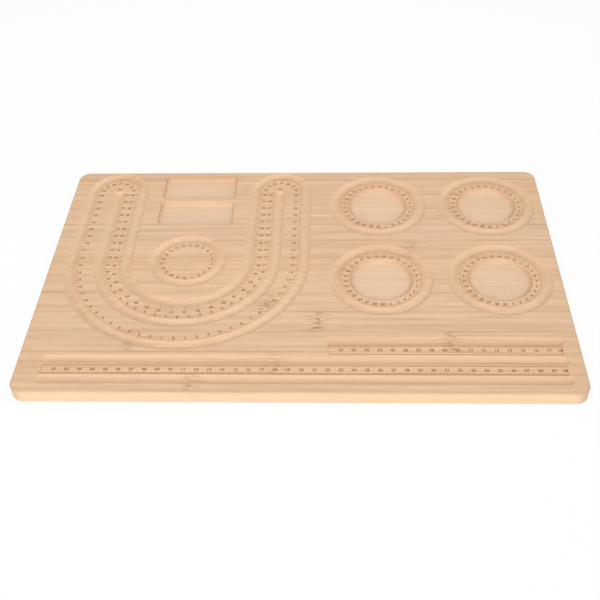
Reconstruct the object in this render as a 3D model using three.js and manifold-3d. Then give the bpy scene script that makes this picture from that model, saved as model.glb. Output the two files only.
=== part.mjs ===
// Bead board: a thin laminated bamboo board with carved bead grooves, bracelet rings and bead trays.
// Millimetres, +Z up. The origin is the middle of the underside, +X runs along the long side and
// +Y runs from the front edge, where the rulers are, to the back edge.
// The board is glued up from two plies of long staves. All the carving is in the top ply.

import * as THREE from 'three';
import { mergeVertices } from 'three/addons/utils/BufferGeometryUtils.js';
import Module from 'manifold-3d';

// Board
const boardLength = 435;
const boardDepth = 280;
const boardThickness = 12;
const cornerRadius = 10;
const edgeRadius = 1.2;

// Staves
const staveWidth = 22.5;
const frontTopStave = 19;
const frontBaseStave = 10;
const narrowestStave = 6;

// Bead grooves, cut with a round-nosed cutter
const grooveWidth = 8.6;
const grooveDepth = 2.8;

// Straight ruler grooves, the first two along the long ruler and the third along the short one
const rulerFromLeft = 19;
const rulerFromRight = 11;
const rulerFromFront = 13;
const rulerPitch = 20.4;
const shortRulerLength = 185;

// Necklace channels: an outer and an inner U that join over the arm tops, and a U between them
const uFromLeft = 119;
const uArcFromFront = 149.2;
const armTopFromBack = 31;
const middleArmShorter = 3;
const uOuterRadius = 101.2;
const uMiddleRadius = 76.2;
const uInnerRadius = 52.6;

// Small ring inside the U
const smallRingFromFront = 150.3;
const smallRingRadius = 29.6;

// Bead trays behind the small ring
const trayLength = 68.5;
const trayWidth = 34;
const trayFromBack = 6.8;
const trayGap = 5;
const trayCornerRadius = 4;
const trayDepth = 3.8;
const trayFillet = 3;

// Bracelet rings: a round pocket, a flat scale land and a groove around it
const ringFromRight = 51.2;
const ringPitchX = 98.8;
const ringFromBack = 52.7;
const ringPitchY = 100.7;
const ringGrooveRadius = 39.6;
const pocketRadius = 27;
const pocketFloorRadius = 25;
const pocketDepth = 3.7;
const pocketFillet = 6;
const floorUnderPocket = 2.8;

// Smoothness of the carving
const cornerSteps = 5;
const edgeSteps = 3;
const filletSteps = 3;
const sectionSteps = 6;
const roundSteps = 40;
const arcStepAngle = Math.PI / 20;

// The cutters stand this far above the top, and past the sides of what they cut
const clearOfWood = 2;

// Points nearer than this are one point
const mergeDistance = 1e-4;

// The top ply is thick enough to keep wood under the deepest pocket
const topPly = pocketDepth + floorUnderPocket;
const basePly = boardThickness - topPly;

const left = -boardLength / 2;
const right = boardLength / 2;
const front = -boardDepth / 2;
const back = boardDepth / 2;
const top = boardThickness;

const wasm = await Module();
wasm.setup();

// A closed geometry as a solid for cutting
function toSolid(geometry) {
  const bare = geometry.clone();
  bare.deleteAttribute('normal');
  bare.deleteAttribute('uv');
  const merged = mergeVertices(bare, mergeDistance);
  return new wasm.Manifold(new wasm.Mesh({
    numProp: 3,
    vertProperties: new Float32Array(merged.attributes.position.array),
    triVerts: new Uint32Array(merged.index.array),
  }));
}

// A solid as a geometry again
function toGeometry(solid) {
  const mesh = solid.getMesh();
  const geometry = new THREE.BufferGeometry();
  geometry.setAttribute('position', new THREE.BufferAttribute(new Float32Array(mesh.vertProperties), 3));
  geometry.setIndex(new THREE.BufferAttribute(new Uint32Array(mesh.triVerts), 1));
  geometry.computeVertexNormals();
  return geometry;
}

// A rectangle with round corners, centred on the origin
function roundedRectangle(length, width, radius) {
  const x = length / 2;
  const y = width / 2;
  const shape = new THREE.Shape();
  shape.moveTo(-x + radius, -y);
  shape.lineTo(x - radius, -y);
  shape.absarc(x - radius, -y + radius, radius, -Math.PI / 2, 0);
  shape.lineTo(x, y - radius);
  shape.absarc(x - radius, y - radius, radius, 0, Math.PI / 2);
  shape.lineTo(-x + radius, y);
  shape.absarc(-x + radius, y - radius, radius, Math.PI / 2, Math.PI);
  shape.lineTo(-x, -y + radius);
  shape.absarc(-x + radius, -y + radius, radius, Math.PI, Math.PI * 1.5);
  return shape;
}

// A slab with round corners and rounded edges, its underside at height 0
function roundedSlab(length, width, height, radius, edge, steps) {
  const geometry = new THREE.ExtrudeGeometry(roundedRectangle(length, width, radius), {
    depth: height - 2 * edge,
    bevelThickness: edge,
    bevelSize: edge,
    bevelOffset: -edge,
    bevelSegments: steps,
    curveSegments: cornerSteps,
  });
  return geometry.translate(0, 0, edge);
}

// A box between two corners
function boxBetween(x0, x1, y0, y1, z0, z1) {
  const geometry = new THREE.BoxGeometry(x1 - x0, y1 - y0, z1 - z0);
  return geometry.translate((x0 + x1) / 2, (y0 + y1) / 2, (z0 + z1) / 2);
}

// Half of a groove's section from its middle outwards: a circular bottom, then straight up
function halfSection() {
  const half = grooveWidth / 2;
  const noseRadius = (half * half + grooveDepth * grooveDepth) / (2 * grooveDepth);
  const sweepAngle = Math.atan2(half, noseRadius - grooveDepth);
  const points = [];
  const steps = sectionSteps / 2;
  for (let i = 0; i <= steps; i++) {
    const angle = sweepAngle * i / steps;
    points.push([noseRadius * Math.sin(angle), top - grooveDepth + noseRadius * (1 - Math.cos(angle))]);
  }
  points.push([half, top + clearOfWood]);
  return points;
}

// The whole section, from the left side down and up to the right side
function fullSection() {
  const half = halfSection();
  const mirrored = half.slice(1).reverse().map(([across, height]) => [-across, height]);
  return mirrored.concat(half);
}

// A station of a groove's path: a point and the direction of travel there
function station(x, y, heading) {
  return { x, y, acrossX: Math.sin(heading), acrossY: -Math.cos(heading) };
}

// Stations round an arc, turning left when the turn is positive
function arcStations(centreX, centreY, radius, from, turn) {
  const steps = Math.max(2, Math.round(Math.abs(turn) / arcStepAngle));
  const stations = [];
  for (let i = 0; i <= steps; i++) {
    const angle = from + turn * i / steps;
    const heading = angle + Math.sign(turn) * Math.PI / 2;
    stations.push(station(centreX + radius * Math.cos(angle), centreY + radius * Math.sin(angle), heading));
  }
  return stations;
}

// A solid from rings of points that are joined in turn, each ring to the next and the last to the first
function ringedSolid(rings) {
  const sides = rings[0].length;
  const index = [];
  const face = (a, b, c) => {
    const [p, q, r] = [a, b, c].map((i) => rings[Math.floor(i / sides)][i % sides]);
    if (p.distanceTo(q) > mergeDistance && q.distanceTo(r) > mergeDistance && r.distanceTo(p) > mergeDistance) {
      index.push(a, b, c);
    }
  };
  for (let i = 0; i < rings.length; i++) {
    const here = i * sides;
    const next = ((i + 1) % rings.length) * sides;
    for (let j = 0; j < sides; j++) {
      const k = (j + 1) % sides;
      face(here + j, next + k, here + k);
      face(here + j, next + j, next + k);
    }
  }
  const geometry = new THREE.BufferGeometry().setFromPoints(rings.flat());
  geometry.setIndex(index);
  return toSolid(geometry);
}

// The points of a section where it stands on a path
function placed(section, { x, y, acrossX, acrossY }) {
  return section.map(([across, height]) => new THREE.Vector3(x + across * acrossX, y + across * acrossY, height));
}

// A groove that closes on itself: the whole section carried round
function closedGroove(stations) {
  const section = fullSection();
  return ringedSolid(stations.map((stop) => placed(section, stop)));
}

// A groove with round ends: half of the section carried up one side, round the end and down the other
function openGroove(stations) {
  const section = halfSection();
  section.push([0, top + clearOfWood]);
  const turned = ({ x, y, acrossX, acrossY }, angle) => ({
    x,
    y,
    acrossX: acrossX * Math.cos(angle) - acrossY * Math.sin(angle),
    acrossY: acrossX * Math.sin(angle) + acrossY * Math.cos(angle),
  });
  const roundTheEnd = (stop) => {
    const steps = roundSteps / 4;
    return Array.from({ length: steps - 1 }, (_, i) => turned(stop, Math.PI * (i + 1) / steps));
  };
  const up = stations;
  const down = [...stations].reverse().map((stop) => turned(stop, Math.PI));
  const outline = [...up, ...roundTheEnd(up[up.length - 1]), ...down, ...roundTheEnd(down[down.length - 1])];
  return ringedSolid(outline.map((stop) => placed(section, stop)));
}

// A round cutter turned from a profile of radius and height, standing at a point
function turnedCutter(profile, x, y) {
  const points = profile.map(([radius, height]) => new THREE.Vector2(radius, height));
  const geometry = new THREE.LatheGeometry(points, roundSteps);
  return toSolid(geometry.rotateX(Math.PI / 2).translate(x, y, 0));
}

// A straight groove along X
function straightGroove(x0, x1, y) {
  const end = grooveWidth / 2;
  return openGroove([station(x0 + end, y, 0), station(x1 - end, y, 0)]);
}

// A groove that runs in a circle
function ringGroove(x, y, radius) {
  return closedGroove(arcStations(x, y, radius, 0, 2 * Math.PI).slice(0, -1));
}

// A round pocket with a filleted foot and a leaning wall
function pocket(x, y) {
  const floor = top - pocketDepth;
  const lean = Math.atan2(pocketRadius - pocketFloorRadius, pocketDepth);
  const wallAngle = Math.PI / 2 - lean;
  const tangent = pocketFillet * Math.tan(wallAngle / 2);
  const centreX = pocketFloorRadius - tangent;
  const profile = [[0, floor]];
  for (let i = 0; i <= filletSteps; i++) {
    const angle = wallAngle * i / filletSteps;
    profile.push([centreX + pocketFillet * Math.sin(angle), floor + pocketFillet * (1 - Math.cos(angle))]);
  }
  profile.push([pocketRadius, top], [pocketRadius, top + clearOfWood], [0, top + clearOfWood]);
  return turnedCutter(profile, x, y);
}

// A bead tray with round corners and a filleted foot
function tray(x, y) {
  const height = trayDepth + clearOfWood + trayFillet;
  const slab = roundedSlab(trayLength, trayWidth, height, trayCornerRadius, trayFillet, filletSteps);
  return toSolid(slab.translate(x, y, top - trayDepth));
}

// Straight grooves beside the two rulers
function rulerGrooves() {
  const x0 = left + rulerFromLeft;
  const x1 = right - rulerFromRight;
  const y = front + rulerFromFront;
  return [
    straightGroove(x0, x1, y),
    straightGroove(x0, x1, y + rulerPitch),
    straightGroove(x1 - shortRulerLength, x1, y + 2 * rulerPitch),
  ];
}

// The outer and inner U as one closed loop, and the U between them
function necklaceChannels() {
  const x = left + uFromLeft;
  const arcY = front + uArcFromFront;
  const topY = back - armTopFromBack;
  const capRadius = (uOuterRadius - uInnerRadius) / 2;
  const capOffset = (uOuterRadius + uInnerRadius) / 2;
  const loop = [
    ...arcStations(x, arcY, uOuterRadius, Math.PI, Math.PI),
    ...arcStations(x + capOffset, topY, capRadius, 0, Math.PI),
    ...arcStations(x, arcY, uInnerRadius, 0, -Math.PI),
    ...arcStations(x - capOffset, topY, capRadius, 0, Math.PI),
  ];
  const middleTopY = topY - middleArmShorter;
  const middle = [
    station(x - uMiddleRadius, middleTopY, -Math.PI / 2),
    ...arcStations(x, arcY, uMiddleRadius, Math.PI, Math.PI),
    station(x + uMiddleRadius, middleTopY, Math.PI / 2),
  ];
  const smallRing = ringGroove(x, front + smallRingFromFront, smallRingRadius);
  return [closedGroove(loop), openGroove(middle), smallRing];
}

// Two bead trays, one behind the other
function beadTrays() {
  const x = left + uFromLeft;
  const y = back - trayFromBack - trayWidth / 2;
  return [tray(x, y), tray(x, y - trayWidth - trayGap)];
}

// Two rows of two bracelet rings
function braceletRings() {
  const cutters = [];
  for (const row of [0, 1]) {
    for (const column of [0, 1]) {
      const x = right - ringFromRight - column * ringPitchX;
      const y = back - ringFromBack - row * ringPitchY;
      cutters.push(pocket(x, y), ringGroove(x, y, ringGrooveRadius));
    }
  }
  return cutters;
}

// Where the staves of a ply meet, from the front edge to the back edge
function staveSeams(firstWidth) {
  const seams = [front];
  let y = front + firstWidth;
  while (y < back - narrowestStave) {
    seams.push(y);
    y += staveWidth;
  }
  seams.push(back);
  return seams;
}

// One colour for each stave, stepping through the tones that bamboo strips show
const bambooTones = [0xe4c09b, 0xdfb88f, 0xe8c8a4, 0xe1ba95, 0xe6c39c];

function bambooMaterial(order) {
  return new THREE.MeshStandardMaterial({
    color: bambooTones[order % bambooTones.length],
    roughness: 0.6,
    metalness: 0,
  });
}

// A ply of staves, ripped out of the carved board
function ply(carved, name, firstWidth, z0, z1) {
  const group = new THREE.Group();
  const seams = staveSeams(firstWidth);
  for (let i = 0; i + 1 < seams.length; i++) {
    const y0 = i === 0 ? front - clearOfWood : seams[i];
    const y1 = i + 2 === seams.length ? back + clearOfWood : seams[i + 1];
    const blank = toSolid(boxBetween(left - clearOfWood, right + clearOfWood, y0, y1, z0, z1));
    const mesh = new THREE.Mesh(toGeometry(carved.intersect(blank)), bambooMaterial(i));
    mesh.name = `${name}_${String(i + 1).padStart(2, '0')}`;
    group.add(mesh);
  }
  return group;
}

const slab = toSolid(
  roundedSlab(boardLength, boardDepth, boardThickness, cornerRadius, edgeRadius, edgeSteps),
);
const cutters = [...rulerGrooves(), ...necklaceChannels(), ...beadTrays(), ...braceletRings()];
const carved = cutters.reduce((board, cutter) => board.subtract(cutter), slab);

const beadBoard = new THREE.Group();
beadBoard.add(ply(carved, 'top_stave', frontTopStave, basePly, top + clearOfWood));
beadBoard.add(ply(carved, 'base_stave', frontBaseStave, -clearOfWood, basePly));

export default beadBoard;
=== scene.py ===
# Bead board: carved bamboo staves with their grain, and the scales burnt into the lands.
# Lengths are millimetres in the board's own frame, measured from its front left corner, and a
# mesh is turned into metres when it is made.

import math

import bmesh
import bpy
import numpy as np
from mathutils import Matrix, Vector
from mathutils.geometry import delaunay_2d_cdt


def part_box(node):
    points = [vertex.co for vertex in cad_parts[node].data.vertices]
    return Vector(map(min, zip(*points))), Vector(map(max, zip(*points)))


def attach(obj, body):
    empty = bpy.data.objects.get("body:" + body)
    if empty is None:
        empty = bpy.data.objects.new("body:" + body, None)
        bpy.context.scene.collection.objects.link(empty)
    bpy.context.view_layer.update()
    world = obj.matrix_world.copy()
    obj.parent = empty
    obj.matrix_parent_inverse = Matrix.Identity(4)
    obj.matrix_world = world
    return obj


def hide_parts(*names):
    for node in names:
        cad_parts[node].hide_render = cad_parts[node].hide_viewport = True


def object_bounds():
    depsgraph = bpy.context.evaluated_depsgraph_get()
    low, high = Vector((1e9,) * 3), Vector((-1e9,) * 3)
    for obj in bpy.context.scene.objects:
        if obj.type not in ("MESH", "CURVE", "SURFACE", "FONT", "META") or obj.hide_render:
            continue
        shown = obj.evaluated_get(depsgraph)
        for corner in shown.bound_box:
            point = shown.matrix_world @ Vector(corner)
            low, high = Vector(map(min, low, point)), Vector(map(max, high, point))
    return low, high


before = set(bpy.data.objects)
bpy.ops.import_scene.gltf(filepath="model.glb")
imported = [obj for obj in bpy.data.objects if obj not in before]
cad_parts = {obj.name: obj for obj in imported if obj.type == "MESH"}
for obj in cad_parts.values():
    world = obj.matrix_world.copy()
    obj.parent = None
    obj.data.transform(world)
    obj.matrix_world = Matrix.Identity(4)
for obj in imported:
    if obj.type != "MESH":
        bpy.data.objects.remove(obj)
cad_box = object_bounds()

MM = 0.001
centimetre = 10
half_centimetre = centimetre // 2

# The board, read from the frame
corner_x, corner_y, underside = (value / MM for value in cad_box[0])
board_length, board_depth, top = ((high - low) / MM for low, high in zip(*cad_box))
corner_radius = 10
edge_radius = 1.2

# Bead grooves
groove_width = 8.0
groove_depth = 2.8
groove_lip_radius = 1.3
wall_lip_radius = 0.5

# Shares of scorched wood, of painted light (a paler colour) and of painted shade (a darker colour) on
# surfaces that face right, left, front and back, and on a sloping edge. On the board's front side the paler
# colour is partly its paler side grain.
clean = (0, 0, 0)
groove_scorch_and_painted_light = ((0, 0.85, 0), (0, 0.1, 0.26), (0.07, 0, 0), (0.05, 0, 0.30), (0, 0.28, 0))
pocket_scorch_and_painted_light = ((0, 0, 0.5), (0, 0, 0.75), (0.12, 0, 0), (0, 0, 0.35), clean)
front_tray_scorch_and_painted_light = ((0, 0, 0.3), (0, 0, 0.45), (0.08, 0.25, 0), (0, 0, 0.4), clean)
back_tray_scorch_and_painted_light = ((0, 0, 0.3), (0, 0, 0.45), (0.38, 0, 0), (0, 0, 0.4), clean)
rim_scorch_and_painted_light = ((0, 0, 1), (0, 0, 1), (0.16, 0.75, 0), (0, 0, 1), (0, 0, 0.4))

# Straight ruler grooves
ruler_from_left = 19
ruler_from_right = 11
ruler_from_front = 13
ruler_pitch = 20.4
short_ruler_length = 185

# Necklace channels and the small ring inside them
u_x = 119
u_arc_y = 149.2
arm_top_y = board_depth - 31
middle_top_y = arm_top_y - 3
u_outer_radius = 101.2
u_middle_radius = 76.2
u_inner_radius = 52.6
small_ring_y = 150.3
small_ring_radius = 29.6
cap_radius = (u_outer_radius - u_inner_radius) / 2
cap_offset = (u_outer_radius + u_inner_radius) / 2

# Bead trays
tray_length = 68.5
tray_width = 34
tray_from_back = 6.8
tray_gap = 5
tray_corner_radius = 4
tray_depth = 3.8
tray_lean = 1.2
tray_foot = 3.6

# Bracelet rings
ring_x = board_length - 51.2
ring_pitch_x = 98.8
ring_y = board_depth - 52.7
ring_pitch_y = 100.7
ring_groove_radius = 39.6
pocket_radius = 27
pocket_floor_radius = 25
pocket_depth = 3.7
pocket_foot = 6

# Fineness of the meshes
bowl_steps = 7
lip_steps = 3
foot_steps = 4
rim_steps = 6
corner_steps = 14
end_steps = 16
curve_pace = 1.4
straight_pace = 7
land_pace = 12
slope_step = 0.01
same_point = 1e-5
on_seam = same_point * 10


# Sections: rows of distance, height above the land and slope

def bend_rows(x, z, radius, angles, sense):
    """Points of a bend whose middle is at x, z, where the surface has these slopes."""
    return [(x + sense * radius * math.sin(a), z - sense * radius * math.cos(a), a) for a in angles]


def groove_section():
    """From a groove's middle outwards: a round bottom and a sanded lip."""
    half = groove_width / 2
    nose = (half * half + groove_depth * groove_depth) / (2 * groove_depth)
    middle = nose - groove_depth
    lip = groove_lip_radius
    lip_at = math.sqrt((nose + lip) ** 2 - (middle + lip) ** 2)
    steepest = math.asin(lip_at / (nose + lip))
    bowl = bend_rows(0, middle, nose, np.linspace(0, steepest, bowl_steps + 1), 1)
    sanded = bend_rows(lip_at, -lip, lip, np.linspace(steepest, 0, lip_steps + 1), -1)
    return np.array(bowl + sanded[1:])


def wall_section(floor_end, wall_end, depth, foot_radius):
    """From a flat floor up a leaning wall to the land, with a round foot and a sanded lip."""
    lean = math.atan2(depth, wall_end - floor_end)
    foot_reach = foot_radius * math.tan(lean / 2)
    lip_reach = wall_lip_radius * math.tan(lean / 2)
    foot = bend_rows(
        floor_end - foot_reach, foot_radius - depth, foot_radius, np.linspace(0, lean, foot_steps + 1), 1
    )
    lip = bend_rows(
        wall_end + lip_reach, -wall_lip_radius, wall_lip_radius, np.linspace(lean, 0, lip_steps + 1), -1
    )
    return np.array(foot + lip)


def rim_section():
    """From the board's outline inwards over its rounded edge."""
    angles = np.linspace(math.pi / 2, 0, rim_steps + 1)
    return np.array(bend_rows(edge_radius, -edge_radius, edge_radius, angles, -1))


# Paths that the cutter follows

class Line:
    """A straight stretch."""

    pace = straight_pace

    def __init__(self, start, end):
        self.start = np.array(start, float)
        reach = np.array(end, float) - self.start
        self.length = math.hypot(*reach)
        self.along = reach / self.length

    def at(self, travel):
        """The point this far along, and the direction to its right."""
        return self.start + self.along * travel, np.array((self.along[1], -self.along[0]))

    def distance(self, x, y):
        dx, dy = x - self.start[0], y - self.start[1]
        travel = np.clip(dx * self.along[0] + dy * self.along[1], 0, self.length)
        return np.hypot(dx - travel * self.along[0], dy - travel * self.along[1])


class Arc:
    """A round stretch, which turns left when the turn is positive."""

    pace = curve_pace

    def __init__(self, centre, radius, start, turn, measured_at=None):
        self.centre = np.array(centre, float)
        self.radius = radius
        self.start = start
        self.turn = abs(turn)
        self.sense = math.copysign(1, turn)
        self.measured_at = measured_at or radius
        self.length = self.measured_at * self.turn

    def at(self, travel):
        """The point this far along, and the direction to its right."""
        angle = self.start + self.sense * travel / self.measured_at
        outward = np.array((math.cos(angle), math.sin(angle)))
        return self.centre + self.radius * outward, self.sense * outward

    def distance(self, x, y):
        dx, dy = x - self.centre[0], y - self.centre[1]
        swept = np.mod((np.arctan2(dy, dx) - self.start) * self.sense, 2 * math.pi)
        return np.where(swept <= self.turn, np.abs(np.hypot(dx, dy) - self.radius), np.inf)


def walk(path, travel):
    """The point this far along a path, and the direction to its right."""
    for stretch in path:
        if travel <= stretch.length:
            return stretch.at(travel)
        travel -= stretch.length
    raise ValueError("the path is shorter than that")


def path_length(path):
    return sum(stretch.length for stretch in path)


def stations(path, closed):
    """Points along a path and the directions to their right."""
    found = []
    for stretch in path:
        count = math.ceil(stretch.length / stretch.pace)
        found += [stretch.at(stretch.length * i / count) for i in range(count)]
    if not closed:
        found.append(path[-1].at(path[-1].length))
    points, rights = zip(*found)
    return np.array(points), np.array(rights)


def around_end(point, right, offset):
    """Points of the half circle round a path's end, from its right to its left."""
    start = math.atan2(right[1], right[0])
    angles = start + np.linspace(0, math.pi, end_steps + 1)[1:-1]
    return point + offset * np.stack((np.cos(angles), np.sin(angles)), 1)


def rounded_rectangle(centre, half, radius):
    """The outline of a rectangle with round corners, anticlockwise."""
    rows = []
    for quarter, (sx, sy) in enumerate(((1, 1), (-1, 1), (-1, -1), (1, -1))):
        middle = np.array(centre) + np.array((sx, sy)) * (np.array(half) - radius)
        angles = math.pi / 2 * (quarter + np.linspace(0, 1, corner_steps + 1))
        rows.append(middle + radius * np.stack((np.cos(angles), np.sin(angles)), 1))
    return with_stops(np.concatenate(rows))


def with_stops(ring):
    """A closed outline whose long sides have points at a steady pace."""
    points = []
    for here, there in zip(ring, np.roll(ring, -1, 0)):
        count = max(1, math.ceil(math.hypot(*(there - here)) / land_pace))
        points += [here + (there - here) * i / count for i in range(count)]
    return np.array(points)


def rectangle_distance(x, y, centre, half, radius):
    """How far a point lies outside a rectangle with round corners, less than 0 inside it."""
    qx = np.abs(x - centre[0]) - half[0] + radius
    qy = np.abs(y - centre[1]) - half[1] + radius
    outside = np.hypot(np.maximum(qx, 0), np.maximum(qy, 0))
    return outside + np.minimum(np.maximum(qx, qy), 0) - radius


# Cuts: a section, the distance that it is read at, and the lines that the mesh follows

class Cut:
    """The mesh follows its rings, which are closed, and its lines, which are open."""

    def __init__(self, section, distance, stains, rings, lines=()):
        self.section = section
        self.distance = distance
        # Shares of scorch, painted light and painted shade by the way the surface faces
        self.stains = stains
        self.rings = rings
        self.lines = list(lines)


def groove(path, closed):
    """A round-bottomed groove along a path, with round ends where it isn't closed."""
    section = groove_section()
    points, rights = stations(path, closed)
    rings = []
    for offset in section[1:, 0]:
        right_side = points + rights * offset
        left_side = points - rights * offset
        if closed:
            rings += [right_side, left_side]
        else:
            far_end = around_end(points[-1], rights[-1], offset)
            near_end = around_end(points[0], -rights[0], offset)
            rings.append(np.concatenate((right_side, far_end, left_side[::-1], near_end)))

    def distance(x, y):
        return np.minimum.reduce([stretch.distance(x, y) for stretch in path])

    if closed:
        return Cut(section, distance, groove_scorch_and_painted_light, rings + [points])
    return Cut(section, distance, groove_scorch_and_painted_light, rings, [points])


def straight_groove(x0, x1, y):
    end = groove_width / 2
    return groove([Line((x0 + end, y), (x1 - end, y))], closed=False)


def ring_groove(centre, radius):
    return groove([Arc(centre, radius, 0, 2 * math.pi)], closed=True)


def pocket(centre):
    """A round pocket with a leaning wall."""
    section = wall_section(pocket_floor_radius, pocket_radius, pocket_depth, pocket_foot)
    rings = []
    for radius in section[:, 0]:
        points, _ = stations([Arc(centre, radius, 0, 2 * math.pi)], closed=True)
        rings.append(points)

    def distance(x, y):
        return np.hypot(x - centre[0], y - centre[1])

    return Cut(section, distance, pocket_scorch_and_painted_light, rings)


def tray(centre, stains):
    """A bead tray with round corners."""
    half = np.array((tray_length, tray_width)) / 2
    section = wall_section(-tray_lean, 0, tray_depth, tray_foot)
    rings = [rounded_rectangle(centre, half + out, tray_corner_radius + out) for out in section[:, 0]]

    def distance(x, y):
        return rectangle_distance(x, y, centre, half, tray_corner_radius)

    return Cut(section, distance, stains, rings)


def rim():
    """The board's rounded edge."""
    section = rim_section()
    centre = np.array((board_length, board_depth)) / 2
    rings = [rounded_rectangle(centre, centre - inward, corner_radius - inward) for inward in section[1:, 0]]

    def distance(x, y):
        return -rectangle_distance(x, y, centre, centre, corner_radius)

    return Cut(section, distance, rim_scorch_and_painted_light, rings)


def ring_centres():
    """Middles of the bracelet rings, with the names of their places."""
    for row, row_name in enumerate(("back", "front")):
        for column, column_name in enumerate(("right", "left")):
            yield f"{row_name}_{column_name}", (ring_x - column * ring_pitch_x, ring_y - row * ring_pitch_y)


def channel_loop():
    """The outer and inner U as one loop, from its lowest point anticlockwise."""
    quarter = math.pi / 2
    return [
        Arc((u_x, u_arc_y), u_outer_radius, -quarter, quarter),
        Line((u_x + u_outer_radius, u_arc_y), (u_x + u_outer_radius, arm_top_y)),
        Arc((u_x + cap_offset, arm_top_y), cap_radius, 0, math.pi),
        Line((u_x + u_inner_radius, arm_top_y), (u_x + u_inner_radius, u_arc_y)),
        Arc((u_x, u_arc_y), u_inner_radius, 0, -math.pi),
        Line((u_x - u_inner_radius, u_arc_y), (u_x - u_inner_radius, arm_top_y)),
        Arc((u_x - cap_offset, arm_top_y), cap_radius, 0, math.pi),
        Line((u_x - u_outer_radius, arm_top_y), (u_x - u_outer_radius, u_arc_y)),
        Arc((u_x, u_arc_y), u_outer_radius, math.pi, quarter),
    ]


def middle_channel():
    """The U between them, from the left arm's top round to the right arm's top."""
    return [
        Line((u_x - u_middle_radius, middle_top_y), (u_x - u_middle_radius, u_arc_y)),
        Arc((u_x, u_arc_y), u_middle_radius, math.pi, math.pi),
        Line((u_x + u_middle_radius, u_arc_y), (u_x + u_middle_radius, middle_top_y)),
    ]


def carving():
    """Every cut in the board's top."""
    right_end = board_length - ruler_from_right
    tray_y = board_depth - tray_from_back - tray_width / 2
    cuts = [
        rim(),
        straight_groove(ruler_from_left, right_end, ruler_from_front),
        straight_groove(ruler_from_left, right_end, ruler_from_front + ruler_pitch),
        straight_groove(right_end - short_ruler_length, right_end, ruler_from_front + 2 * ruler_pitch),
        groove(channel_loop(), closed=True),
        groove(middle_channel(), closed=False),
        ring_groove((u_x, small_ring_y), small_ring_radius),
        tray((u_x, tray_y), back_tray_scorch_and_painted_light),
        tray((u_x, tray_y - tray_width - tray_gap), front_tray_scorch_and_painted_light),
    ]
    for _, centre in ring_centres():
        cuts += [pocket(centre), ring_groove(centre, ring_groove_radius)]
    return cuts


def surface(x, y, cuts):
    """Heights over the land, directions that the surface faces, and shares of scorch, painted light and
    painted shade, at points of the plan.
    """
    height = np.zeros_like(x)
    stains = np.zeros((len(x), 3))
    facing = np.zeros((len(x), 3))
    facing[:, 2] = 1
    for cut in cuts:
        distance = cut.distance(x, y)
        depth = np.interp(distance, cut.section[:, 0], cut.section[:, 1])
        cuts_here = depth < height
        px, py = x[cuts_here], y[cuts_here]
        slope = np.interp(distance[cuts_here], cut.section[:, 0], cut.section[:, 2])
        toward_x = cut.distance(px + slope_step, py) - cut.distance(px - slope_step, py)
        toward_y = cut.distance(px, py + slope_step) - cut.distance(px, py - slope_step)
        size = np.maximum(np.hypot(toward_x, toward_y), slope_step)
        tilt = -np.sin(slope)
        faced = np.stack((tilt * toward_x / size, tilt * toward_y / size, np.cos(slope)), 1)
        height[cuts_here] = depth[cuts_here]
        facing[cuts_here] = faced
        stains[cuts_here] = stained(faced, cut.stains)
    return height, facing, stains


def stained(facing, stains):
    """How scorched a surface is that faces this way, and how much painted light and painted shade it takes.
    """
    x, y, z = facing.T
    sloping = 2 * np.hypot(x, y) * z
    ways = np.stack((x, -x, -y, y, sloping), 1)
    return np.maximum(ways, 0) @ np.array(stains)


# Staves

def clipped(ring, keep):
    """The part of a convex outline where keep(y) is 0 or more."""
    points = []
    for here, there in zip(ring, np.roll(ring, -1, 0)):
        inside, next_inside = keep(here[1]), keep(there[1])
        if inside >= 0:
            points.append(here)
        if inside * next_inside < 0:
            points.append(here + (there - here) * inside / (inside - next_inside))
    return np.array(points)


def strokes_of(cuts):
    """All the lines that the mesh follows, as one list of points and one of point pairs."""
    points, pairs = [], []
    for cut in cuts:
        for closed, lines in ((True, cut.rings), (False, cut.lines)):
            for line in lines:
                first = sum(map(len, points))
                index = np.arange(len(line)) + first
                links = np.stack((index, np.roll(index, -1)), 1)
                pairs.append(links if closed else links[:-1])
                points.append(line)
    return np.concatenate(points), np.concatenate(pairs)


def tessellated(outline, points, pairs):
    """Triangles inside an outline that follow the given lines."""
    seen, flat = np.unique(pairs, return_inverse=True)
    places = [Vector(p) for p in np.concatenate((outline, points[seen]))]
    edges = (flat.reshape(-1, 2) + len(outline)).tolist()
    made = delaunay_2d_cdt(places, edges, [list(range(len(outline)))], 1, same_point)
    return np.array([tuple(p) for p in made[0]]), np.array(made[2])


def boundary(triangles):
    """The vertices round a triangulated shape, anticlockwise."""
    sides = {(a, b) for t in triangles.tolist() for a, b in zip(t, t[1:] + t[:1])}
    follow = {a: b for a, b in sides if (b, a) not in sides}
    ring = [min(follow)]
    while follow[ring[-1]] != ring[0]:
        ring.append(follow[ring[-1]])
    return ring


def filled(places):
    """Triangles that fill an outline, as numbers of its points."""
    corners = [Vector(p) for p in places]
    made = delaunay_2d_cdt(corners, [], [list(range(len(corners)))], 1, same_point)
    return [[made[3][v][0] for v in face] for face in made[2]]


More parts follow.
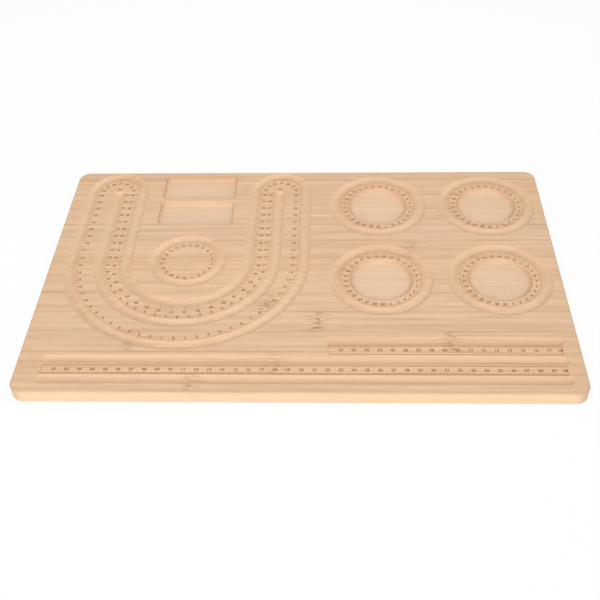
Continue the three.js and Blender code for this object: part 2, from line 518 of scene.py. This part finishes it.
def stave_mesh(name, y0, y1, cuts, strokes, carved_level, flat_level):
    """One stave as a closed mesh: a carved face, a flat face and the sides between them."""
    up = math.copysign(1, carved_level - flat_level)
    middle = np.array((board_length, board_depth)) / 2
    whole = rounded_rectangle(middle, middle, corner_radius)
    outline = with_stops(clipped(clipped(whole, lambda y: y - y0), lambda y: y1 - y))
    points, pairs = strokes
    ends = points[pairs][:, :, 1]
    near = (ends.max(1) > y0) & (ends.min(1) < y1)
    plan, triangles = tessellated(outline, points, pairs[near])
    height, facing, stains = surface(plan[:, 0], plan[:, 1], cuts)
    carved = np.column_stack((plan, carved_level + up * height))
    facing[:, 2] *= up
    ring = boundary(triangles)
    ring_plan = plan[ring]
    flat = np.column_stack((ring_plan, np.full(len(ring), flat_level)))
    count = len(plan)

    faces = triangles[:, ::int(up)].tolist()
    normals = [facing[v] for face in faces for v in face]
    outward = outline_facing(ring_plan)
    for i, here in enumerate(ring):
        j = (i + 1) % len(ring)
        side = [here, count + i, count + j, ring[j]]
        faced = side_facing(ring_plan[i], ring_plan[j], outward[i], outward[j], y0, y1)
        turned = [faced[0], faced[0], faced[1], faced[1]]
        faces.append(side[::int(up)])
        normals += turned[::int(up)]
    for face in filled(ring_plan):
        faces.append([count + v for v in face[::-int(up)]])
        normals += [np.array((0, 0, -up))] * 3

    mesh = bpy.data.meshes.new(name)
    corner = np.array((corner_x, corner_y, 0))
    mesh.from_pydata((np.concatenate((carved, flat)) + corner) * MM, [], faces, shade_flat=False)
    mesh.normals_split_custom_set([Vector(n).normalized() for n in normals])
    # Shares of scorch, painted light and painted shade; the sides take the rim's by the way they face
    all_scorch_and_painted_light = np.concatenate((stains, stained(outward, rim_scorch_and_painted_light)))
    scorch_and_painted_light_layer = mesh.attributes.new("stains", "FLOAT_VECTOR", "POINT")
    scorch_and_painted_light_layer.data.foreach_set("vector", all_scorch_and_painted_light.astype(np.float32).ravel())
    stave = bpy.data.objects.new(name, mesh)
    bpy.context.scene.collection.objects.link(stave)
    return stave


def outline_facing(places):
    """The directions that the board's side faces at points of its outline."""
    centre = np.array((board_length, board_depth)) / 2
    x, y = places[:, 0], places[:, 1]
    across = [
        rectangle_distance(x + dx, y + dy, centre, centre, corner_radius)
        - rectangle_distance(x - dx, y - dy, centre, centre, corner_radius)
        for dx, dy in ((slope_step, 0), (0, slope_step))
    ]
    facing = np.column_stack((across[0], across[1], np.zeros(len(x))))
    return facing / np.maximum(np.linalg.norm(facing, axis=1, keepdims=True), slope_step)


def side_facing(here, there, facing_here, facing_there, y0, y1):
    """Directions of a side wall's two ends: square to the seam, or round the board's outline."""
    for seam, direction in ((y0, -1), (y1, 1)):
        if abs(here[1] - seam) < on_seam and abs(there[1] - seam) < on_seam:
            return [np.array((0, direction, 0))] * 2
    return [facing_here, facing_there]


# Shader maths

class Shade:
    """One socket of a material's nodes. Arithmetic on it adds Math nodes."""

    def __init__(self, tree, socket=None):
        self.tree = tree
        self.socket = socket

    def node(self, kind, settings=None, sockets=None, output=0):
        """Adds a node: its settings come first, and then the values or links of its sockets."""
        made = self.tree.nodes.new("ShaderNode" + kind)
        for name, value in (settings or {}).items():
            setattr(made, name, value)
        for key, value in (sockets or {}).items():
            if isinstance(value, Shade):
                self.tree.links.new(value.socket, made.inputs[key])
            else:
                made.inputs[key].default_value = value
        return Shade(self.tree, made.outputs[output] if made.outputs else None)

    def other(self, output):
        """Another output of the same node."""
        return Shade(self.tree, self.socket.node.outputs[output])

    def math(self, operation, *others):
        """A Math node on this socket and any others."""
        return self.node("Math", {"operation": operation}, dict(enumerate((self, *others))))

    def __add__(self, other):
        return self.math("ADD", other)

    __radd__ = __add__

    def __sub__(self, other):
        return self.math("SUBTRACT", other)

    def __rsub__(self, other):
        return self.node("Math", {"operation": "SUBTRACT"}, {0: other, 1: self})

    def __mul__(self, other):
        return self.math("MULTIPLY", other)

    __rmul__ = __mul__

    def noise(self, x, y, z, detail=1.0):
        """Noise round 0.5, at a place given in cells of the noise."""
        place = self.node("CombineXYZ", None, {0: x, 1: y, 2: z})
        return self.node("TexNoise", None, {"Vector": place, "Scale": 1.0, "Detail": detail})

    def ramp(self, low, high):
        """0 below low and 1 above high, or the other way round, with a smooth step between."""
        ends = {"Value": self, "From Min": low, "From Max": high}
        return self.node("MapRange", {"interpolation_type": "SMOOTHSTEP"}, ends)

    def mix(self, first, second):
        """A colour between two, with self as the share of the second."""
        return self.node("Mix", {"data_type": "RGBA"}, {0: self, 6: first, 7: second}, 2)


def colour(red, green, blue, light=1.0):
    """A colour given as 8-bit sRGB, in linear light."""
    def linear(value):
        share = value / 255
        return share / 12.92 if share <= 0.04045 else ((share + 0.055) / 1.055) ** 2.4
    return (linear(red) * light, linear(green) * light, linear(blue) * light, 1)


def new_material(name):
    material = bpy.data.materials.new(name)
    material.use_nodes = True
    material.node_tree.nodes.clear()
    return material, Shade(material.node_tree)


def close_material(start, shader):
    start.node("OutputMaterial", None, {"Surface": shader})


# Bamboo

bamboo_colour = (226, 188, 151)
fibre_colour = colour(176, 124, 80)
knuckle_colour = colour(166, 110, 64)
halo_colour = colour(244, 214, 178)
seam_colour = colour(150, 98, 58)
floor_colour = colour(233, 203, 171)
scorch_colour = colour(206, 132, 60)
# Painted light: a paler colour on walls that face right and on groove slopes; on the board's front side it is
# partly its paler side grain
pale_side_and_painted_light_colour = colour(235, 205, 169)
# Painted shade: a darker colour on walls that face sideways and back, and on the board's sides and rounded
# edge
painted_shade_colour = colour(186, 148, 112)

# The darkest and the lightest wood of a stave: steps from its own colour, and how light they are
dark_steps = (0, -3, -5)
dark_wood_light = 0.89
light_steps = (0, 2, 4)
light_wood_light = 1.09

# Cells of noise per millimetre along and across the fibres
bend_cells = (0.012, 0.02)
broad_cells = (0.006, 0.22)
streak_cells = (0.012, 0.75)
fine_cells = (0.04, 2.6)
fibre_cells = (0.06, 6.5)
vein_cells = (0.014, 0.9)
dash_cells = (0.09, 1.7)
blotch_cells = (0.16, 0.42)
wander_cells = 0.7
seam_cells = 0.015
beside_seam_cells = 0.010

# Bands of noise over which a marking comes in
fibre_band = (0.56, 0.74)
vein_band = (0.62, 0.76)
blotch_band = (0.38, 0.66)
dash_band = (0.46, 0.70)
seam_band = (0.38, 0.62)
beside_seam_band = (0.46, 0.62)

# How much the grain bends, in millimetres, and how strongly each layer of it shows
grain_bend = 1.2
broad_contrast = 1.5
streak_contrast = 1.6
fine_contrast = 1.3
fibre_share = 0.28
vein_share = 0.3

# Freshly cut wood: the depths under the land, and under a groove's bottom, over which it comes in
carved_from, carved_to = 0.3, 2.0
carved_share = 0.12
floor_from, floor_to = 0.1, 0.6
floor_share = 0.48

# Knuckles: how far they wander, how soon the pale ring and the dark core fade, and their shares
knuckle_wander = 12
halo_fade = -0.007
core_fade = -0.03
halo_share = 0.16
dash_share = 0.36
core_share = 0.34

# Seams: the distances between which they fade, and their shares
seam_reach = (0.55, 0.15)
seam_least = 0.04
seam_more = 0.34
beside_seam_reach = (2.6, 0.1)
beside_seam_share = 0.30
seam_lost_in_cuts = 0.85

# Scorch, painted light and painted shade: their even share, and how much the grain shows in each
scorch_and_painted_light_evenness = 0.8
scorch_grain = 0.6
pale_side_and_painted_light_grain = 0.2
painted_shade_grain = 0.4

# The surface: how rough it is, and how far the grain stands out
plain_roughness = 0.50
grain_roughness = 0.25
fibre_roughness = 0.12
grain_relief = 0.5
fibre_relief = 0.6
relief_strength = 0.12
relief_depth = 0.0002
bamboo_refraction = 1.4


def wood_colour(steps, warmth, light):
    """The bamboo's colour, moved by these steps of red, green and blue and warmed this much."""
    red, green, blue = (base + step for base, step in zip(bamboo_colour, steps))
    return colour(red + warmth, green, blue - warmth, light)


def with_knuckles(wood, start, x, y, z, seed, knuckles):
    """Adds the cane's darker joints, each with paler wood round it, at these x and strengths."""
    dash_along, dash_across = dash_cells
    blotch_along, blotch_across = blotch_cells
    for order, (knuckle_x, strength) in enumerate(knuckles):
        wander = start.noise(seed + order, y * wander_cells, z * wander_cells, 2.0) - 0.5
        reach = x - knuckle_x + wander * knuckle_wander
        near = (reach * reach * halo_fade).math("EXPONENT")
        core = (reach * reach * core_fade).math("EXPONENT")
        blotch_noise = start.noise(x * blotch_along, y * blotch_across + seed, z * blotch_across, 2.0)
        dash_noise = start.noise(x * dash_along, y * dash_across + seed, z * dash_across, 2.0)
        blotch = blotch_noise.ramp(*blotch_band)
        dashes = dash_noise.ramp(*dash_band)
        dark = near * dashes * (dash_share * strength) + core * blotch * (core_share * strength)
        wood = (near * (1 - dashes) * (halo_share * strength)).mix(wood, halo_colour)
        wood = dark.mix(wood, knuckle_colour)
    return wood


def with_seams(wood, start, x, y, seed, y0, y1, carved):
    """Adds the glue lines at the stave's sides, which the cutter's fresh wood hides."""
    uncarved = 1 - carved * seam_lost_in_cuts
    along_seam = start.noise(x * seam_cells, y0, seed, 1.0).ramp(*seam_band)
    seam = (y - y0).math("MINIMUM", y1 - y).ramp(*seam_reach)
    wood = (seam * (along_seam * seam_more + seam_least) * uncarved).mix(wood, seam_colour)
    beside_seam = start.noise(x * beside_seam_cells, y0, seed + 3, 1.0).ramp(*beside_seam_band)
    shaded = (y - y0).ramp(*beside_seam_reach) * beside_seam * uncarved
    return (shaded * beside_seam_share).mix(wood, fibre_colour)


def with_stains(wood, start, fine, streak):
    """Adds the scorched wood, the painted light and the painted shade that the mesh carries as shares."""
    shares = start.node("Attribute", {"attribute_name": "stains"}, None, "Vector")
    scorched = start.node("SeparateXYZ", None, {0: shares})
    pale_side_and_painted_light, painted_shade = scorched.other(1), scorched.other(2)
    wood = (scorched * (scorch_and_painted_light_evenness + fine * scorch_grain)).mix(wood, scorch_colour)
    # Painted light: a paler colour, which on the board's front side is partly its paler side grain
    wood = (pale_side_and_painted_light * (scorch_and_painted_light_evenness + streak * pale_side_and_painted_light_grain)).mix(wood, pale_side_and_painted_light_colour)
    # Painted shade: a darker colour
    return (painted_shade * (scorch_and_painted_light_evenness + streak * painted_shade_grain)).mix(wood, painted_shade_colour)


def bamboo(name, seed, tone, warmth, knuckles, y0, y1):
    """Bamboo with its fibres along X, in one stave's own tone, between the seams at y0 and y1."""
    material, start = new_material(name)
    place = start.node("TexCoord", None, None, "Object")
    axes = start.node("SeparateXYZ", None, {0: place})
    x = axes * (1 / MM) - corner_x
    y = axes.other(1) * (1 / MM) - corner_y
    z = axes.other(2) * (1 / MM)
    bend = start.noise(x * bend_cells[0], seed, z * bend_cells[1]) - 0.5
    y_grain = y + bend * grain_bend

    def grain(cells, shift, detail):
        """Noise that is drawn out along the fibres."""
        along, across = cells
        return start.noise(x * along + shift, y_grain * across, z * across, detail)

    broad = grain(broad_cells, seed, 1.0) - 0.5
    streak = grain(streak_cells, seed, 2.0) - 0.5
    fine = grain(fine_cells, seed, 2.0) - 0.5
    fibre = grain(fibre_cells, -seed, 1.0).ramp(*fibre_band)
    vein = grain(vein_cells, -seed, 1.0).ramp(*vein_band)
    lightness = broad * broad_contrast + streak * streak_contrast + fine * fine_contrast + 0.5
    dark_wood = wood_colour(dark_steps, warmth, tone * dark_wood_light)
    light_wood = wood_colour(light_steps, warmth, tone * light_wood_light)
    wood = lightness.mix(dark_wood, light_wood)

    carved = z.ramp(top - carved_from, top - carved_to)
    groove_bottom = top - groove_depth
    floor = z.ramp(groove_bottom - floor_from, groove_bottom - floor_to)
    wood = (carved * carved_share + floor * floor_share).mix(wood, floor_colour)
    wood = (fibre * fibre_share).mix(wood, fibre_colour)
    wood = (vein * vein_share).mix(wood, fibre_colour)
    wood = with_knuckles(wood, start, x, y, z, seed, knuckles)
    wood = with_seams(wood, start, x, y, seed, y0, y1, carved)
    wood = with_stains(wood, start, fine, streak)

    roughness = plain_roughness + fine * grain_roughness + fibre * fibre_roughness
    relief = fine * grain_relief - fibre * fibre_relief
    bump = start.node("Bump", None, {"Height": relief, "Strength": relief_strength, "Distance": relief_depth})
    sockets = {"Base Color": wood, "Roughness": roughness, "Normal": bump, "IOR": bamboo_refraction}
    close_material(start, start.node("BsdfPrincipled", None, sockets))
    return material


# Burnt wood

burnt_colour = colour(155, 102, 50)
browned_colour = colour(186, 134, 78)
burnt_cells = (0.5, 3.0)
burnt_band = (0.3, 0.7)
burnt_roughness = 0.75
burnt_roughness_change = 0.2
burnt_refraction = 1.3


def burnt_wood():
    """Wood browned by the burning of the scales."""
    material, start = new_material("burnt_marks")
    place = start.node("TexCoord", None, None, "Object")
    axes = start.node("SeparateXYZ", None, {0: place})
    x, y, z = axes * (1 / MM), axes.other(1) * (1 / MM), axes.other(2) * (1 / MM)
    grain = start.noise(x * burnt_cells[0], y * burnt_cells[1], z, 2.0).ramp(*burnt_band)
    brown = grain.mix(burnt_colour, browned_colour)
    rough = burnt_roughness + (grain - 0.5) * burnt_roughness_change
    sockets = {"Base Color": brown, "Roughness": rough, "IOR": burnt_refraction}
    close_material(start, start.node("BsdfPrincipled", None, sockets))
    return material


# Scales burnt into the lands

ruler_digit_size = 3.8
channel_digit_size = 3.6
ring_digit_size = 3.7
digit_boldness = 0.17
line_width = 0.55
ticked_line_width = 0.36
tick_width = 0.38
fine_tick_width = 0.30
ticks_per_number = 5
mark_height = 0.02
mark_sink = 0.05
number_shift = np.array((-0.5, -1.3))

# Lengths of the rulers' ticks
half_centimetre_tick = 2.2
millimetre_tick = 1.5
ruler_end_shift = -1.6

# Ticks and digits beside a channel, from its middle, and the lines that its bends are measured along
channel_tick_start = 4.7
centimetre_channel_tick = 3.2
channel_tick = 1.7
outer_digits_in = 9.6
inner_digits_in = 9.8
middle_digits_in = 8.6
outer_bend_measured_at = 98.3
cap_measured_at = 22.9
inner_bend_measured_at = 56.6
middle_bend_measured_at = 72.5
middle_scale_past_end = 1
channel_end_shift = np.array((-0.4, 6.8))

number_shapes = {}


def number_shape(text, size):
    """Points and faces of a number as a thin closed solid round its middle, in millimetres."""
    if (text, size) not in number_shapes:
        curve = bpy.data.curves.new("number", "FONT")
        curve.body = text
        curve.size = size
        curve.offset = digit_boldness
        curve.align_x = "CENTER"
        curve.align_y = "CENTER"
        curve.resolution_u = 2
        curve.extrude = (mark_height + mark_sink) / 2
        holder = bpy.data.objects.new("number", curve)
        shape = bpy.data.meshes.new_from_object(holder)
        welded = bmesh.new()
        welded.from_mesh(shape)
        bmesh.ops.remove_doubles(welded, verts=welded.verts, dist=same_point)
        bmesh.ops.dissolve_degenerate(welded, edges=welded.edges, dist=same_point)
        welded.to_mesh(shape)
        welded.free()
        points = np.array([v.co[:] for v in shape.vertices])
        points[:, :2] -= (points[:, :2].min(0) + points[:, :2].max(0)) / 2
        number_shapes[text, size] = points, [list(p.vertices) for p in shape.polygons]
        bpy.data.objects.remove(holder)
        bpy.data.curves.remove(curve)
        bpy.data.meshes.remove(shape)
    return number_shapes[text, size]


class Marks:
    """Burnt lines and numbers that are gathered into one thin piece."""

    def __init__(self, name):
        self.name = name
        self.points = []
        self.faces = []

    def add(self, points, faces):
        first = sum(map(len, self.points))
        self.points.append(points)
        self.faces += [[first + v for v in face] for face in faces]

    def line(self, start, end, width):
        start, end = np.array(start, float), np.array(end, float)
        along = (end - start) / math.hypot(*(end - start))
        side = np.array((-along[1], along[0])) * width / 2
        plan = [start - side, end - side, end + side, start + side]
        half = (mark_height + mark_sink) / 2
        points = [(*p, height) for height in (-half, half) for p in plan]
        faces = [(3, 2, 1, 0), (4, 5, 6, 7), (0, 1, 5, 4), (1, 2, 6, 5), (2, 3, 7, 6), (3, 0, 4, 7)]
        self.add(np.array(points), faces)

    def number(self, text, size, place):
        points, faces = number_shape(text, size)
        self.add(points + np.array((place[0], place[1], 0)), faces)

    def piece(self, material):
        mesh = bpy.data.meshes.new(self.name)
        corner = np.array((corner_x, corner_y, top + (mark_height - mark_sink) / 2))
        mesh.from_pydata((np.concatenate(self.points) + corner) * MM, [], self.faces)
        mesh.materials.append(material)
        scale = bpy.data.objects.new(self.name, mesh)
        bpy.context.scene.collection.objects.link(scale)
        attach(scale, "root")


def ruler_scale(name, zero, count, base_y, other_y, digit_y, material):
    """A straight ruler: its ticks stand on the line at base_y and point to the line at other_y."""
    marks = Marks(name)
    end = zero + centimetre * count
    upright = math.copysign(1, other_y - base_y)
    marks.line((zero, base_y), (end, base_y), ticked_line_width)
    marks.line((zero, other_y), (end, other_y), line_width)
    for side_x in (zero, end):
        marks.line((side_x, base_y), (side_x, other_y), ticked_line_width)
    for millimetre in range(1, centimetre * count):
        reach = millimetre_tick if millimetre % half_centimetre else half_centimetre_tick
        x = zero + millimetre
        marks.line((x, base_y), (x, base_y + upright * reach), fine_tick_width)
    for value in range(1, count + 1):
        shift = ruler_end_shift if value == count else 0
        marks.number(f"{value:02d}", ruler_digit_size, (zero + centimetre * value + shift, digit_y))
    marks.piece(material)


def channel_marks(marks, path, last, digits_in):
    """Centimetres along a channel and its mirror image, on the side that is its left."""
    for mirror in (1, -1):
        for step in range(ticks_per_number * last + 1):
            travel = centimetre * step / ticks_per_number
            point, right = walk(path, travel)
            whole = step % ticks_per_number == 0
            reach = centimetre_channel_tick if whole else channel_tick
            spot = [point - right * (channel_tick_start + share * reach) for share in (0, 1)]
            ends = [(u_x + mirror * (p[0] - u_x), p[1]) for p in spot]
            marks.line(*ends, tick_width if whole else fine_tick_width)
            if whole and (step or mirror == 1):
                place = point - right * digits_in(travel)
                place[0] = u_x + mirror * (place[0] - u_x)
                marks.number(str(step // ticks_per_number), channel_digit_size, place + number_shift)


def outer_channel_scale(material):
    """Centimetres up the outer channel, round the cap and down the inner channel."""
    marks = Marks("outer_channel_scale")
    quarter = math.pi / 2
    path = [
        Arc((u_x, u_arc_y), u_outer_radius, -quarter, quarter, measured_at=outer_bend_measured_at),
        Line((u_x + u_outer_radius, u_arc_y), (u_x + u_outer_radius, arm_top_y)),
        Arc((u_x + cap_offset, arm_top_y), cap_radius, 0, math.pi, measured_at=cap_measured_at),
        Line((u_x + u_inner_radius, arm_top_y), (u_x + u_inner_radius, u_arc_y)),
        Arc((u_x, u_arc_y), u_inner_radius, 0, -quarter, measured_at=inner_bend_measured_at),
    ]
    outer_part = path_length(path[:3])
    last = int(path_length(path) // centimetre)

    def digits_in(travel):
        return outer_digits_in if travel < outer_part else inner_digits_in

    channel_marks(marks, path, last, digits_in)
    marks.piece(material)


def middle_channel_scale(material):
    """Centimetres up the middle channel, with the last number over its end."""
    marks = Marks("middle_channel_scale")
    quarter = math.pi / 2
    arm_x = u_x + u_middle_radius
    path = [
        Arc((u_x, u_arc_y), u_middle_radius, -quarter, quarter, measured_at=middle_bend_measured_at),
        Line((arm_x, u_arc_y), (arm_x, middle_top_y + middle_scale_past_end)),
    ]
    last = int(path_length(path) // centimetre)
    channel_marks(marks, path, last, lambda travel: middle_digits_in)
    for side in (1, -1):
        arm_top = np.array((u_x + side * u_middle_radius, middle_top_y))
        marks.number(str(last + 1), channel_digit_size, arm_top + channel_end_shift)
    marks.piece(material)


def round_scale(name, centre, count, digit_radius, tick_radii, material):
    """Numbers and ticks round a ring, from its lowest point anticlockwise."""
    marks = Marks(name)
    inner, outer = tick_radii
    for step in range(ticks_per_number * count):
        angle = -math.pi / 2 + 2 * math.pi * step / (ticks_per_number * count)
        ray = np.array((math.cos(angle), math.sin(angle)))
        whole = step % ticks_per_number == 0
        near = inner if whole else (2 * inner + outer) / 3
        width = tick_width if whole else fine_tick_width
        marks.line(centre + ray * near, centre + ray * outer, width)
        if whole:
            place = centre + ray * digit_radius + (0, number_shift[1])
            marks.number(str(step // ticks_per_number or count), ring_digit_size, place)
    marks.piece(material)


# Where each ruler's zero is, its centimetres, and the places of its lines and numbers
long_ruler_marks = {"zero": 20.6, "count": 40, "base_y": 18.3, "other_y": 27.1, "digit_y": 22.9}
short_ruler_marks = {"zero": 240.8, "count": 18, "base_y": 48.5, "other_y": 39.2, "digit_y": 43.8}

# How many numbers each ring has, and the radii of its numbers and ticks
small_ring_marks = {"count": 22, "digit_radius": 21.4, "tick_radii": (23.2, 24.8)}
bracelet_ring_marks = {"count": 29, "digit_radius": 29.9, "tick_radii": (31.4, 34.9)}


def all_scales():
    material = burnt_wood()
    ruler_scale("long_ruler_scale", material=material, **long_ruler_marks)
    ruler_scale("short_ruler_scale", material=material, **short_ruler_marks)
    outer_channel_scale(material)
    middle_channel_scale(material)
    small_ring = np.array((u_x, small_ring_y))
    round_scale("small_ring_scale", small_ring, material=material, **small_ring_marks)
    for place, centre in ring_centres():
        round_scale(f"{place}_ring_scale", np.array(centre), material=material, **bracelet_ring_marks)


# The board

# Where an upper stave has its knuckles, and how strong they are
knuckle_places = {
    "top_stave_01": [(137, 1.1)],
    "top_stave_02": [(200, 0.9)],
    "top_stave_03": [(83, 0.8), (338, 1.5)],
    "top_stave_04": [(232, 1.6)],
    "top_stave_05": [(190, 1.3)],
    "top_stave_07": [(248, 0.8)],
    "top_stave_08": [(310, 1.1)],
}

# Tones and warmths that the staves take in turn
tones = (1.0, 0.99, 1.015, 1.005, 0.995)
warmths = (0, 0, -1, 1, -1)
seed_step = 7.3
darker_staves = {"top_stave_01": 0.98, "top_stave_13": 0.94}

# The lower ply: its tone, and its knuckles' strength and places
base_tone = 0.95
base_knuckle_strength = 0.9
base_knuckle_first = 60
base_knuckle_step = 137
base_knuckle_reach = 400


def stave_character(name, order):
    """A stave's own tone and its knuckles. Those of the lower ply are spread along the board."""
    tone = tones[order % len(tones)] * darker_staves.get(name, 1)
    if name.startswith("top"):
        return tone, knuckle_places.get(name, [])
    knuckle_x = (order * base_knuckle_step + base_knuckle_first) % base_knuckle_reach
    return tone * base_tone, [(knuckle_x, base_knuckle_strength)]


def all_staves():
    """Every CAD stave as a finely carved one, with its own bamboo."""
    cuts = carving()
    plain = [rim()]
    strokes = {"top": strokes_of(cuts), "base": strokes_of(plain)}
    for order, name in enumerate(sorted(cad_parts)):
        low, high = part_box(name)
        y0, y1 = (round(value / MM - corner_y, 3) for value in (low.y, high.y))
        if name.startswith("top"):
            stave = stave_mesh("carved_" + name, y0, y1, cuts, strokes["top"], top, low.z / MM)
        else:
            stave = stave_mesh("rounded_" + name, y0, y1, plain, strokes["base"], underside, high.z / MM)
        tone, knuckles = stave_character(name, order)
        finish = bamboo(name, seed_step * order, tone, warmths[order * 2 % len(warmths)], knuckles, y0, y1)
        stave.data.materials.append(finish)
        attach(stave, "root")
        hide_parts(name)


# Floor, light and camera

floor_size = 6.0
floor_white = colour(253, 253, 253)
shadow_share = 0.14
key_size = 2.6
key_distance = 3.0
key_azimuth = math.radians(-18)
key_height = math.radians(24)
key_power = 50.0
sky_strength = 0.575
overhead_size = 0.5
overhead_distance = 0.62
overhead_azimuth = math.radians(180)
overhead_height = math.radians(85)
overhead_power = 0.78
window_azimuth = math.radians(90)
window_height = math.radians(35)
window_width = math.radians(70)
window_distance = key_distance
window_strength = 0.42
camera_place = (0.0280, -0.5873, 0.5259)
camera_turn = (46.838, 1.418, 1.599)
camera_lens = 54.96
camera_sensor = 36


def seen_by_camera(start):
    """1 on rays from the camera or by way of gloss or glass, and 0 on rays that light the board."""
    ray = start.node("LightPath", None, None, "Is Camera Ray")
    return ray.math("MAXIMUM", ray.other("Is Glossy Ray")).math("MAXIMUM", ray.other("Is Transmission Ray"))


def make_floor():
    half = floor_size / 2
    mesh = bpy.data.meshes.new("floor")
    corners = [(-half, -half, 0), (half, -half, 0), (half, half, 0), (-half, half, 0)]
    mesh.from_pydata(corners, [], [(0, 1, 2, 3)])
    material, start = new_material("floor_white")
    matte = start.node("BsdfDiffuse", None, {"Color": floor_white})
    glow = start.node("Emission", None, {"Color": (1, 1, 1, 1), "Strength": 1.0})
    share = seen_by_camera(start) * (1 - shadow_share)
    close_material(start, start.node("MixShader", None, {0: share, 1: matte, 2: glow}))
    mesh.materials.append(material)
    floor = bpy.data.objects.new("floor", mesh)
    floor.location.z = cad_box[0].z
    bpy.context.scene.collection.objects.link(floor)


def make_sky():
    world = bpy.data.worlds.new("studio")
    world.use_nodes = True
    world.node_tree.nodes.clear()
    start = Shade(world.node_tree)
    strength = seen_by_camera(start) * (1 - sky_strength) + sky_strength
    glow = start.node("Background", None, {"Color": (1, 1, 1, 1), "Strength": strength})
    start.node("OutputWorld", None, {"Surface": glow})
    bpy.context.scene.world = world


def toward(azimuth, height):
    """The direction at this azimuth, to the right of the front, and height."""
    level = math.cos(height)
    return Vector((math.sin(azimuth) * level, -math.cos(azimuth) * level, math.sin(height)))


def make_lamp(name, kind, direction, distance, **settings):
    """A lamp in this direction that shines at the board."""
    data = bpy.data.lights.new(name, kind)
    for setting, value in settings.items():
        setattr(data, setting, value)
    lamp = bpy.data.objects.new(name, data)
    lamp.location = direction * distance
    lamp.rotation_euler = direction.to_track_quat("Z", "Y").to_euler()
    bpy.context.scene.collection.objects.link(lamp)


def make_round_lamp(name, azimuth, height, distance, size, power):
    direction = toward(azimuth, height)
    make_lamp(name, "AREA", direction, distance, shape="DISK", size=size, energy=power)


def make_lamps():
    """A broad soft lamp in front of the board, a weak one over it, and a wide window at its right."""
    make_round_lamp("key", key_azimuth, key_height, key_distance, key_size, key_power)
    overhead = (overhead_azimuth, overhead_height, overhead_distance, overhead_size, overhead_power)
    make_round_lamp("overhead", *overhead)
    window = toward(window_azimuth, window_height)
    make_lamp("window", "SUN", window, window_distance, angle=window_width, energy=window_strength)


def make_camera():
    data = bpy.data.cameras.new("camera")
    data.sensor_width = camera_sensor
    data.lens = camera_lens
    camera = bpy.data.objects.new("camera", data)
    camera.location = camera_place
    camera.rotation_euler = [math.radians(angle) for angle in camera_turn]
    bpy.context.scene.collection.objects.link(camera)
    bpy.context.scene.camera = camera


all_staves()
all_scales()
make_floor()
make_sky()
make_lamps()
make_camera()
bpy.context.scene.view_settings.view_transform = "Standard"
